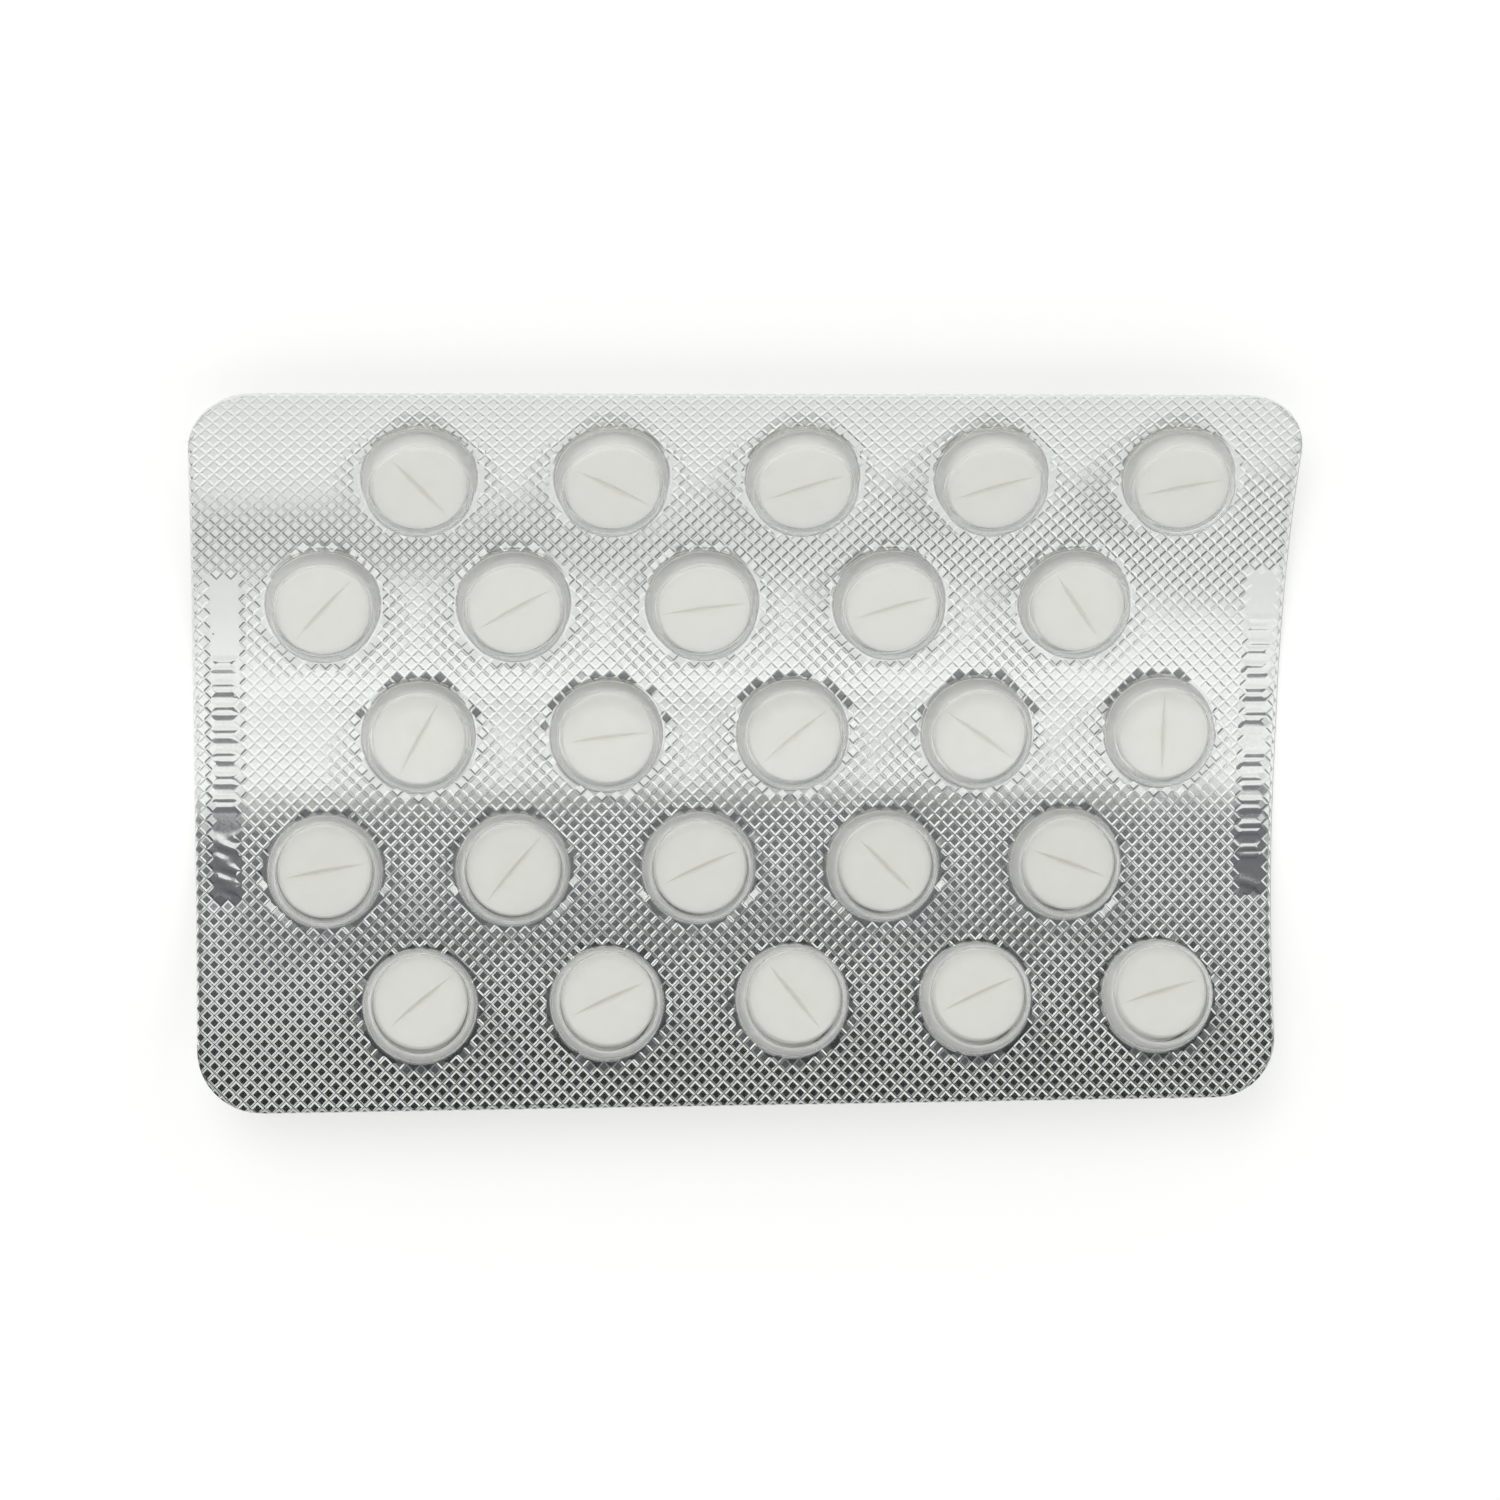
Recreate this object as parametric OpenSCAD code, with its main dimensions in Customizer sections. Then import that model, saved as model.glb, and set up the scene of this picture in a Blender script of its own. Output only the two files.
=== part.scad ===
// A blister card of round scored tablets: a clear thermoformed film, a sealed foil, and one tablet a pocket.
// The card lies on its foil side and is curled about its length, with both long edges lifted.

/* [Card] */
// Width of the card, along its long edges
card_w = 87.4; // [80:0.1:110]
// Height of the card before it curled, measured along the sheet
card_h = 59.8; // [57:0.1:75]
// Radius of the four corners
corner_r = 5.2; // [2:0.1:7]
// Thickness of the clear film between the pockets
film_t = 0.25; // [0.2:0.01:0.4]
// Thickness of the foil over its pressed pattern
foil_t = 0.12; // [0.05:0.01:0.2]

/* [Curl] */
// Radius of the curl, at the face where film and foil are sealed
curl_r = 53; // [45:1:90]
// Width of the strip along the middle that stays flat
flat_w = 6; // [2:0.5:12]

/* [Pockets] */
// Rows of pockets
rows = 5; // [1:1:5]
// Pockets in each row
columns = 5; // [1:1:5]
// Distance from pocket to pocket along a row
pitch_x = 15; // [12:0.1:15.5]
// Distance from row to row along the sheet
pitch_y = 10.9; // [10.2:0.1:11.2]
// How far the pocket pattern is off the middle of the card, along the rows
pattern_x = 0.3; // [-1:0.1:1]
// How far the pocket pattern is off the middle of the card, across the rows
pattern_y = 0.4; // [-0.6:0.1:0.6]
// Inside radius of a pocket at its mouth
mouth_r = 4.28; // [4.2:0.01:4.5]
// Lean of the pocket walls
draft = 7; // [3:0.5:8]
// Thickness of the film where it is drawn out into a pocket
wall_t = 0.2; // [0.12:0.01:0.24]
// Inside radius of the round shoulder under the roof
shoulder_r = 0.3; // [0.15:0.05:0.4]
// Radius of the bend from the sheet into the pocket wall, on the pocket side
root_r = 0.3; // [0.15:0.05:0.35]

/* [Tablets] */
// Diameter of a tablet
tablet_d = 7.5; // [6.5:0.1:7.6]
// Thickness of a tablet
tablet_t = 1.9; // [1.6:0.1:3.2]
// Width of the bevel round both faces
bevel = 0.2; // [0.1:0.05:0.4]
// Length of the score line across the upper face
score_len = 6.5; // [4:0.1:6.6]
// Depth of the score line at its middle
score_depth = 0.3; // [0.1:0.02:0.4]
// Angle between the two flanks of the score line
score_angle = 75; // [60:5:120]

/* [Clearances] */
// Room between a tablet and the roof of its pocket
head_gap = 0.16; // [0.1:0.02:0.6]
// Gap under the edges of a tablet where it lies on the foil
seat_gap = 0.02; // [0.01:0.01:0.1]
// How far the tablets lie off the middle of their pockets, towards the far long edge
tablet_slip = 0.18; // [-0.18:0.02:0.18]

/* [Hidden] */

// Steps of a full turn on round parts, and steps of a quarter turn on the rounded edges of a section
round_steps = 96;
edge_steps = 5;
// Reach of a cutting body past the body that it cuts
over = 1;
// A corner circle is this much larger than the corner, so that it crosses the edges and doesn't graze them
corner_cross = 0.03;
// The bend at the foot of a pocket runs this far into the sheet, so that it meets the sheet at an angle
foot_sink = 0.06;

// The way each score line points, in degrees from the long edge, row by row from the far edge
score_turns = [
    [-49, -28, 20, 18, 12],
    [48, 30, 8, 17, -55],
    [62, 7, 40, -35, 90],
    [10, 50, 24, -45, -20],
    [39, 24, -52, 24, 16]
];

tablet_r = tablet_d / 2;
flat_face_r = tablet_r - bevel;
// The seal is where the film lies on the foil, and the curl turns about two lines above it
seal_z = foil_t;
curl_z = seal_z + curl_r;
// Half the turn of the sheet, from the flat strip to a long edge
end_turn = (card_h - flat_w) / 2 / curl_r * 180 / PI;
// Inside height of a pocket over the seal, and its outside height
pocket_h = tablet_t + seat_gap + rise(pitch_y, flat_face_r + abs(tablet_slip)) + head_gap;
pocket_out_h = pocket_h + wall_t;
// The score is pressed by a bar with a round edge, so it fades out towards both ends
score_bar_r = (pow(score_len / 2, 2) + pow(score_depth, 2)) / (2 * score_depth);

function tablet_name(r, c) = str("tablet_", r, "_", c);

// Turn of the sheet at s, the distance along it from the middle of the card
function turn(s) = sign(s) * max(abs(s) - flat_w / 2, 0) / curl_r * 180 / PI;
function sheet_y(s) = sign(s) * (min(abs(s), flat_w / 2) + curl_r * sin(abs(turn(s))));
function sheet_z(s) = seal_z + curl_r * (1 - cos(turn(s)));
// Height of the sheet at s + d over the plane that touches it at s
function rise(s, d) =
    (sheet_z(s + d) - sheet_z(s)) * cos(turn(s)) - (sheet_y(s + d) - sheet_y(s)) * sin(turn(s));

// Place of a pocket: every second row is half a pitch to the left
function pocket_x(r, c) =
    pattern_x + (c - (columns + 1) / 2) * pitch_x + (r % 2 == 1 ? 1 : -1) * pitch_x / 4;
function pocket_s(r) = pattern_y + ((rows + 1) / 2 - r) * pitch_y;

// Puts its children on the seal, at x and at s along the sheet, with +Z away from the foil
module on_sheet(x, s) {
    translate([x, sheet_y(s), sheet_z(s)]) rotate([turn(s), 0, 0]) children();
}

module on_each_pocket() {
    for (r = [1:rows], c = [1:columns]) on_sheet(pocket_x(r, c), pocket_s(r)) children();
}

// One side of the curl seen from the end of the card: a ring sector from inner to outer
module curl_section(inner, outer, angle) {
    reach = 2 * outer;
    translate([flat_w / 2, curl_z]) intersection() {
        difference() {
            circle(r = outer, $fn = round_steps * 2);
            circle(r = inner, $fn = round_steps * 2);
        }
        polygon([
            [0, 0],
            [0, -reach],
            [reach * tan(angle / 2), -reach],
            [reach * sin(angle), -reach * cos(angle)]
        ]);
    }
}

// A layer of the curled sheet, from low to high over the seal
module curled_layer(low, high, width, angle) {
    rotate([90, 0, 90]) linear_extrude(width, center = true) {
        translate([-flat_w / 2, seal_z + low]) square([flat_w, high - low]);
        curl_section(curl_r - high, curl_r - low, angle);
        mirror([1, 0]) curl_section(curl_r - high, curl_r - low, angle);
    }
}

// What the round corners take away
module corner_cuts() {
    for (sx = [-1, 1], sy = [-1, 1])
        on_sheet(sx * (card_w / 2 - corner_r), sy * (card_h / 2 - corner_r))
            scale([sx, sy, 1]) difference() {
                translate([0, 0, -over]) cube([corner_r + over, corner_r + over, 2 * over]);
                translate([0, 0, -2 * over])
                    cylinder(r = corner_r + corner_cross, h = 4 * over, $fn = round_steps);
            }
}

// Section of a pocket: up the leaning wall, over the round shoulder, and across the roof.
// mouth is its radius at the seal, and root the radius of the bend at its foot, whose lowest point is at foot_z.
function pocket_section(mouth, height, shoulder, root, foot_z) =
    let (
        arc_z = height - shoulder,
        wall_top_z = arc_z + shoulder * sin(draft),
        arc_r = mouth - wall_top_z * tan(draft) - shoulder * cos(draft),
        bend_z = foot_z + root,
        bend_r = mouth - bend_z * tan(draft) + root / cos(draft),
        foot_turn = 70
    )
    concat(
        [[0, -over], [bend_r - root * cos(foot_turn), -over]],
        [for (i = [0:edge_steps]) let (a = foot_turn - (foot_turn + draft) * i / edge_steps)
            [bend_r - root * cos(a), bend_z - root * sin(a)]],
        [for (i = [0:edge_steps]) let (a = draft + (90 - draft) * i / edge_steps)
            [arc_r + shoulder * cos(a), arc_z + shoulder * sin(a)]],
        [[0, height]]
    );

module pocket_outside() {
    rotate_extrude($fn = round_steps)
        polygon(pocket_section(
            mouth_r + wall_t, pocket_out_h, shoulder_r + wall_t, root_r, film_t - foot_sink
        ));
}

module pocket_inside() {
    rotate_extrude($fn = round_steps)
        polygon(pocket_section(mouth_r, pocket_h, shoulder_r, root_r + wall_t, -foot_sink));
}

// The clear film: one sheet, drawn up into a pocket over each tablet
module blister_film() {
    color("aliceblue", 0.45) difference() {
        union() {
            curled_layer(0, film_t, card_w, end_turn);
            on_each_pocket() pocket_outside();
        }
        curled_layer(-2 * over, 0, card_w + 2 * over, end_turn + over);
        on_each_pocket() pocket_inside();
        corner_cuts();
    }
}

// The foil: one sheet sealed to the back of the film, closing every pocket
module lidding_foil() {
    color("silver") difference() {
        curled_layer(-foil_t, 0, card_w, end_turn);
        corner_cuts();
    }
}

// A flat tablet with bevelled edges, lying with its score line along X
module tablet() {
    color("ivory") difference() {
        rotate_extrude($fn = round_steps)
            polygon([
                [0, 0],
                [flat_face_r, 0],
                [tablet_r, bevel],
                [tablet_r, tablet_t - bevel],
                [flat_face_r, tablet_t],
                [0, tablet_t]
            ]);
        translate([0, 0, tablet_t + score_bar_r - score_depth]) rotate([90, 0, 0]) score_bar();
    }
}

// The pressing edge of the score: a ring with a V edge
module score_bar() {
    depth = score_depth + over;
    half_width = depth * tan(score_angle / 2);
    rotate_extrude($fn = round_steps * 2)
        polygon([
            [score_bar_r - depth, -half_width],
            [score_bar_r, 0],
            [score_bar_r - depth, half_width]
        ]);
}

// A tablet lies on the foil with its edges just clear of the curl
module tablet_in_pocket(r, c) {
    s = pocket_s(r);
    edge = flat_face_r;
    lift = max(rise(s, tablet_slip + edge), rise(s, tablet_slip - edge)) + seat_gap;
    on_sheet(pocket_x(r, c), s) translate([0, tablet_slip, lift])
        rotate([0, 0, score_turns[r - 1][c - 1]]) tablet();
}

blister_film();
lidding_foil();
for (r = [1:rows], c = [1:columns])
    tablet_in_pocket(r, c);
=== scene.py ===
# %% [markdown]
# A blister card of 25 scored tablets, in clear film over embossed foil.
#
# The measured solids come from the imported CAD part, and this script dresses them. It makes the foil with its
# pressed diamond pattern, the clear film with its drawn pockets, and the tablets with their score lines. Then
# come the materials, the floor, the light and the camera.

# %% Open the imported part
import math

import bpy
import numpy as np
from mathutils import Matrix, Vector
from mathutils.geometry import delaunay_2d_cdt


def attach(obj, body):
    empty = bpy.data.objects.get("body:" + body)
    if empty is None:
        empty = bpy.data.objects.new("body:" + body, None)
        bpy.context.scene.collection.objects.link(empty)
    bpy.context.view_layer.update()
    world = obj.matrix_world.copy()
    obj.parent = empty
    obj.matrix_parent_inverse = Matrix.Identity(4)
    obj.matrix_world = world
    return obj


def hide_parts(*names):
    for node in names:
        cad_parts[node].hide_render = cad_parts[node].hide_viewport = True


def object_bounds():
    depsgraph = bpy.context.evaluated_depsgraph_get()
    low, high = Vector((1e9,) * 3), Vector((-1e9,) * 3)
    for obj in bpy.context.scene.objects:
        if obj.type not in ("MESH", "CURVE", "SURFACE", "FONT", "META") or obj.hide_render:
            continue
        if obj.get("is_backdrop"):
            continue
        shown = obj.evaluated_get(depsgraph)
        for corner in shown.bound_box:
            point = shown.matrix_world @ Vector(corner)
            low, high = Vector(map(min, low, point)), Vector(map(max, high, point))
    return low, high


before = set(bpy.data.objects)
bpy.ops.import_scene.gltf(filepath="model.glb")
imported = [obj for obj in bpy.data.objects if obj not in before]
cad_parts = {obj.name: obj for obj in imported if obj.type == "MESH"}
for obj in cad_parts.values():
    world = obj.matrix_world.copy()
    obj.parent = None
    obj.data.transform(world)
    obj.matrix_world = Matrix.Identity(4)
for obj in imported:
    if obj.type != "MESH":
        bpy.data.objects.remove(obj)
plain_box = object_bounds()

print("packed nodes:", len(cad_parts))
print("box of the part:", [tuple(round(v * 1000, 2) for v in corner) for corner in plain_box])

# %% [markdown]
# The card's sizes are the ones that the CAD part was built with. All lengths here are in millimetres, and they
# become metres at the last moment, when a mesh is made. One number written once is easier to trust than the same
# number in five places.

# %% Sizes of the card
card_w, card_h, corner_r = 87.4, 59.8, 5.2
film_t, foil_t = 0.25, 0.12
curl_r, flat_w = 53.0, 6.0
rows, columns = 5, 5
pitch_x, pitch_y = 15.0, 10.9
pattern_x, pattern_y = 0.3, 0.4
mouth_r, draft, wall_t = 4.28, math.radians(7), 0.2
shoulder_r, root_r = 0.3, 0.3
tablet_d, tablet_t, bevel = 7.5, 1.9, 0.2
score_len, score_depth, score_angle = 6.5, 0.3, math.radians(75)
head_gap, seat_gap, tablet_slip = 0.16, 0.02, 0.18
score_turns = [
    [-49, -28, 20, 18, 12],
    [48, 30, 8, 17, -55],
    [62, 7, 40, -35, 90],
    [10, 50, 24, -45, -20],
    [39, 24, -52, 24, 16],
]
tablet_r = tablet_d / 2
flat_face_r = tablet_r - bevel
print("card", card_w, "x", card_h, "mm, with", rows * columns, "pockets")

# %% [markdown]
# A card that has been handled curls about its length. Every piece follows the same curl, so each one is first laid
# out flat, with u across and s up the card, and is then carried onto the curl by one function. The seal, where
# film meets foil, is the surface that everything is measured from.

# %% The curl of the card
def turn_at(s):
    """Lean of the sheet at s, in radians."""
    s = np.asarray(s, float)
    return np.sign(s) * np.maximum(np.abs(s) - flat_w / 2, 0) / curl_r


def seal_yz(s):
    """Place of the seal in the side view."""
    s = np.asarray(s, float)
    turned = np.abs(turn_at(s))
    y = np.sign(s) * (np.minimum(np.abs(s), flat_w / 2) + curl_r * np.sin(turned))
    return y, foil_t + curl_r * (1 - np.cos(turned))


def on_curl(u, s, height):
    """Carries flat places u, s, with a height over the seal, onto the curled card."""
    y, z = seal_yz(s)
    t = turn_at(s)
    height = np.asarray(height, float)
    u = np.broadcast_to(np.asarray(u, float), np.shape(t))
    return np.stack([u, y - height * np.sin(t), z + height * np.cos(t)], axis=-1)


def pocket_place(r, c):
    """Middle of the pocket in row r, counted from the far edge, and column c."""
    u = pattern_x + (c - (columns + 1) / 2) * pitch_x + (1 if r % 2 else -1) * pitch_x / 4
    return u, pattern_y + ((rows + 1) / 2 - r) * pitch_y


pockets = [(r, c, *pocket_place(r, c)) for r in range(1, rows + 1) for c in range(1, columns + 1)]
print("the edge leans", round(math.degrees(float(turn_at(card_h / 2))), 1), "degrees and lifts",
      round(float(seal_yz(card_h / 2)[1]) - foil_t, 2), "mm")

# %% [markdown]
# Meshes with many thousands of corners are quickest to make from whole arrays. This helper takes corners in
# millimetres and a list of faces, makes the object, and hooks it to the card's one body.

# %% Make an object from corners and faces
def sharpen_flat_faces(mesh):
    """Marks every edge of a flat-shaded face as sharp, so that smooth neighbours don't bend their light there."""
    sizes = np.zeros(len(mesh.polygons), int)
    smooth = np.zeros(len(mesh.polygons), bool)
    edge_of = np.zeros(len(mesh.loops), int)
    mesh.polygons.foreach_get("loop_total", sizes)
    mesh.polygons.foreach_get("use_smooth", smooth)
    mesh.loops.foreach_get("edge_index", edge_of)
    sharp = np.zeros(len(mesh.edges), bool)
    sharp[edge_of[np.repeat(~smooth, sizes)]] = True
    mesh.edges.foreach_set("use_edge_sharp", sharp)


def make_object(name, corners, faces, smooth=True):
    """smooth is one answer for all faces, or a list with one for each."""
    mesh = bpy.data.meshes.new(name)
    corners = np.asarray(corners, float) / 1000
    mesh.from_pydata(corners.tolist(), [], [list(map(int, f)) for f in faces])
    mesh.update()
    answers = [smooth] * len(faces) if isinstance(smooth, bool) else smooth
    mesh.polygons.foreach_set("use_smooth", answers)
    sharpen_flat_faces(mesh)
    thing = bpy.data.objects.new(name, mesh)
    bpy.context.collection.objects.link(thing)
    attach(thing, "root")
    return thing


def count_triangles(thing):
    thing.data.calc_loop_triangles()
    return len(thing.data.loop_triangles)


# %% [markdown]
# The foil is pressed against a steel plate with diamond teeth, which leaves a net of thin ridges with a bevelled
# pit in each mesh of the net. A bump texture would look right from above only, so the pits are real: each
# diamond has a flat floor, four walls and its share of the ridges. The net is measured from the photograph.

# %% The pressed diamond pattern
diamond_w, diamond_h = 1.128, 1.155
pit_depth = 0.085
leaf_t = 0.022
floor_half, rim_half = 0.305, 0.465
step_p = np.array([diamond_w / 2, diamond_h / 2])
step_q = np.array([-diamond_w / 2, diamond_h / 2])
reach = int(math.ceil(card_w / diamond_w / 2 + card_h / diamond_h / 2)) + 2
print("diamond", diamond_w, "x", diamond_h, "mm, pits", pit_depth, "mm deep")

# %% [markdown]
# The plate has holes round the pockets and two bare bars at the ends, where a date would be stamped. There the
# foil stays smooth. A mask says how deep the pattern may go at each place: 1 in the net, 0 where it is smooth.

# %% Where the foil stays smooth
ring_r, ring_drop = 4.98, 0.22
bar_left = (-41.3, 0.3, 1.3, 13.4)
bar_right = (41.95, 0.3, 1.3, 13.8)


def step_down(x, edge, width):
    t = np.clip((x - edge) / width + 0.5, 0, 1)
    return t * t * (3 - 2 * t)


def inside_card(u, s, margin=0.0):
    """How far a place lies inside the card's rounded outline; a negative number is outside."""
    qx = np.abs(u) - (card_w / 2 - corner_r)
    qy = np.abs(s) - (card_h / 2 - corner_r)
    outside = np.hypot(np.maximum(qx, 0), np.maximum(qy, 0))
    return corner_r - (outside + np.minimum(np.maximum(qx, qy), 0)) - margin


def pattern_mask(u, s):
    mask = np.ones(np.shape(u))
    for _, _, pu, ps in pockets:
        away = np.hypot(u - pu, s - ps + ring_drop * 0.5)
        mask = np.minimum(mask, step_down(away, ring_r, 0.12))
    for bu, bs, half_w, half_h in (bar_left, bar_right):
        away = np.maximum(np.abs(u - bu) - half_w, np.abs(s - bs) - half_h)
        mask = np.minimum(mask, step_down(away, 0.0, 0.12))
    return mask


# %% [markdown]
# The foil is one closed skin: a patterned face towards the film, the same pattern a leaf's thickness lower, and a
# thin edge. All diamonds share their corners with their neighbours, so the skin has no cracks.

# %% Lay the diamonds
def diamond_net(half_ridge):
    """Corners (u, s, pit share) and faces of the net, over the whole card and a little more."""
    count = 2 * reach + 1
    p, q = np.meshgrid(np.arange(-reach, reach + 1), np.arange(-reach, reach + 1), indexing="ij")
    middle = p[..., None] * step_p + q[..., None] * step_q
    near = inside_card(middle[..., 0], middle[..., 1]) > -0.45 * diamond_h
    signs = [(-1, -1), (1, -1), (1, 1), (-1, 1)]
    layers = []
    for share, depth in ((floor_half, 1.0), (half_ridge, 0.0)):
        for a, b in signs:
            place = middle + a * share * step_p + b * share * step_q
            layers.append(np.concatenate([place, np.full(place.shape[:2] + (1,), depth)], axis=-1))
    net = np.stack(layers, axis=2)
    index = np.arange(count * count * 8).reshape(count, count, 8)
    faces = []
    for i in range(count - 1):
        for j in range(count - 1):
            if not near[i, j]:
                continue
            k = index[i, j]
            faces.append((k[0], k[1], k[2], k[3]))
            for a in range(4):
                b = (a + 1) % 4
                faces.append((k[4 + a], k[4 + b], k[b], k[a]))
            right, up, both = index[i + 1, j], index[i, j + 1], index[i + 1, j + 1]
            if near[i + 1, j]:
                faces.append((k[5], right[4], right[7], k[6]))
            if near[i, j + 1]:
                faces.append((k[7], k[6], up[5], up[4]))
            if near[i + 1, j] and near[i, j + 1] and near[i + 1, j + 1]:
                faces.append((k[6], right[7], both[4], up[5]))
    return net.reshape(-1, 3), np.array(faces)


net, net_faces = diamond_net(rim_half)
print("faces in one side of the net:", len(net_faces))

# %% [markdown]
# Diamonds on the outline are cut by the punch that stamps the card out. Corners that fall outside are drawn in to
# the outline, and faces that shrink to nothing are left out.

# %% Trim the net to the card
def pull_to_card(u, s, edge):
    """Moves places outside the rounded outline to its nearest point."""
    core_u = np.clip(u, -(card_w / 2 - corner_r), card_w / 2 - corner_r)
    core_s = np.clip(s, -(card_h / 2 - corner_r), card_h / 2 - corner_r)
    du, ds = u - core_u, s - core_s
    away = np.hypot(du, ds)
    radius = corner_r - edge
    shrink = np.where(away > radius, radius / np.maximum(away, 1e-9), 1)
    return core_u + du * shrink, core_s + ds * shrink


foil_edge = 0.03
net_u, net_s = pull_to_card(net[:, 0], net[:, 1], foil_edge)
mask = pattern_mask(net_u, net_s)
trimmed = np.hypot(net_u - net[:, 0], net_s - net[:, 1]) > 1e-6
used = np.unique(net_faces)
print("corners used:", len(used), "of them drawn in to the outline:", int(trimmed[used].sum()))

# %% [markdown]
# Smooth foil needs few corners in the rings, which are plain, and many in the two bars, which carry the marks of
# a stamp. So the diamonds that lie wholly in a smooth place are taken out, and each hole is filled again with
# corners spaced as wanted. The hole keeps its own rim, so nothing comes apart.

# %% Fill the smooth places again
def points_inside(points, edges):
    """Which points lie inside closed loops of edges: a ray to the right crosses them an odd number of times."""
    a, b = edges[:, 0], edges[:, 1]
    inside_loop = np.zeros(len(points), bool)
    for k, (x, y) in enumerate(points):
        crossing = (a[:, 1] > y) != (b[:, 1] > y)
        where = a[crossing]
        span = b[crossing] - where
        reach_x = where[:, 0] + (y - where[:, 1]) / span[:, 1] * span[:, 0]
        inside_loop[k] = np.count_nonzero(reach_x > x) % 2 == 1
    return inside_loop


def refill(u, s, faces, taken, spacing):
    """Takes out the marked faces and fills their place with triangles, with corners about spacing apart."""
    gone = faces[taken]
    loops = {}
    for face in gone:
        for k in range(4):
            loops[(face[k], face[(k + 1) % 4])] = True
    border = [e for e in loops if (e[1], e[0]) not in loops]
    rim_ids = sorted({v for e in border for v in e})
    local = {v: k for k, v in enumerate(rim_ids)}
    rim_places = np.stack([u[rim_ids], s[rim_ids]], axis=-1)
    rim_edges = [(local[x], local[y]) for x, y in border]
    ends = np.stack([rim_places[[e[0] for e in rim_edges]], rim_places[[e[1] for e in rim_edges]]], axis=1)
    low, high = rim_places.min(0), rim_places.max(0)
    gu, gs = np.meshgrid(np.arange(low[0], high[0], spacing), np.arange(low[1], high[1], spacing * 0.87))
    gu = gu + np.where(np.arange(len(gu)) % 2 == 0, 0, spacing / 2)[:, None]
    grid = np.stack([gu.ravel(), gs.ravel()], axis=-1)
    grid = grid[points_inside(grid, ends)]
    away = np.array([np.hypot(*(rim_places - g).T).min() for g in grid])
    grid = grid[away > 0.45 * spacing]
    result = delaunay_2d_cdt([Vector(v) for v in np.concatenate([rim_places, grid])], rim_edges, [], 0, 1e-7)
    tris = np.array(result[2])
    places = np.array([tuple(v) for v in result[0]])
    tris = tris[points_inside(places[tris].mean(axis=1), ends)]
    ids = np.concatenate([rim_ids, len(u) + np.arange(len(grid))])
    assert len(places) == len(ids)
    return np.concatenate([u, grid[:, 0]]), np.concatenate([s, grid[:, 1]]), ids[tris]


def smooth_faces(u, s, faces, where):
    """Faces of the net whose corners all lie in a smooth place."""
    return np.array([all(where(u[v], s[v]) for v in face) for face in faces])


print("corners before:", len(net_u))

# %% [markdown]
# The pocket rings get corners 1.2 mm apart, and the stamped bars get them 0.24 mm apart. The old stamp held a
# code and a date. No lettering is copied: each mark is a plain pair of bars. The lower end of both strips is
# crumpled, as the stamp left it.

# %% Rings and stamped bars
stamp_depth = 0.06
ring_spacing, bar_spacing = 1.2, 0.24


def in_ring(u, s):
    return any(math.hypot(u - pu, s - ps + ring_drop * 0.5) < ring_r - 0.07 for _, _, pu, ps in pockets)


def in_bar(u, s):
    return any(
        abs(u - bu) < half_w - 0.07 and abs(s - bs) < half_h - 0.07
        for bu, bs, half_w, half_h in (bar_left, bar_right)
    )


def stamped(u, s):
    """Depth of the stamp's plain bars and of the crumpled ends of both strips, in millimetres."""
    depth = np.zeros(np.shape(u))
    for (bu, _, half_w, _), starts in (
        (bar_left, np.arange(7) * -1.87 + 6.3),
        (bar_right, np.concatenate([np.arange(5) * -1.95 + 9.4, np.arange(5) * -1.95 - 1.9])),
    ):
        for start in starts:
            for shift in (0.32, -0.32):
                across = np.abs(s - start - shift) - 0.1
                along = np.abs(u - bu) - (half_w - 0.42)
                away = np.maximum(across, along)
                depth = np.maximum(depth, stamp_depth * (1 - np.clip(away / 0.2 + 0.3, 0, 1)))
    for (bu, bs, half_w, half_h), crumple_top in ((bar_left, -7.3), (bar_right, -11.5)):
        folds = 0.027 * (1 + np.sin(2 * np.pi * (s + 0.55 * u) / 1.5))
        creases = 0.012 * (1 + np.sin(2 * np.pi * (s + 0.2 * u) / 0.85))
        inside_u = (half_w - 0.2 - np.abs(u - bu)) / 0.35
        inside_s = np.minimum((crumple_top - s) / 0.6, (s - bs + half_h - 0.2) / 0.35)
        depth = np.maximum(depth, (folds + creases) * np.clip(np.minimum(inside_u, inside_s), 0, 1))
    return depth


in_rings = smooth_faces(net_u, net_s, net_faces, in_ring)
in_bars = smooth_faces(net_u, net_s, net_faces, in_bar)
foil_u, foil_s, ring_tris = refill(net_u, net_s, net_faces, in_rings, ring_spacing)
foil_u, foil_s, bar_tris = refill(foil_u, foil_s, net_faces, in_bars, bar_spacing)
skin = [tuple(f) for f in net_faces[~(in_rings | in_bars)]]
smooth_skin = [tuple(f) for f in ring_tris] + [tuple(f) for f in bar_tris]
print("diamond faces:", len(skin), "smooth faces:", len(smooth_skin))

# %% [markdown]
# Now the pattern gets its depth, the skin its thickness, and the whole its curl. Faces of the pattern are left
# flat, with crisp edges, and the plain places are shaded smooth.

# %% Close the skin and curl it
def clean_faces(corners, faces, least=1e-5):
    """Leaves out repeated corners within a face, and faces with no area."""
    good = []
    for face in faces:
        ring = [v for k, v in enumerate(face) if v != face[k - 1]]
        if len(ring) < 3:
            continue
        a = corners[ring]
        area = 0.0
        for k in range(1, len(ring) - 1):
            one, two = a[k] - a[0], a[k + 1] - a[0]
            area += one[0] * two[1] - one[1] * two[0]
        if abs(area) > least:
            good.append(tuple(ring))
    return good


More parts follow.
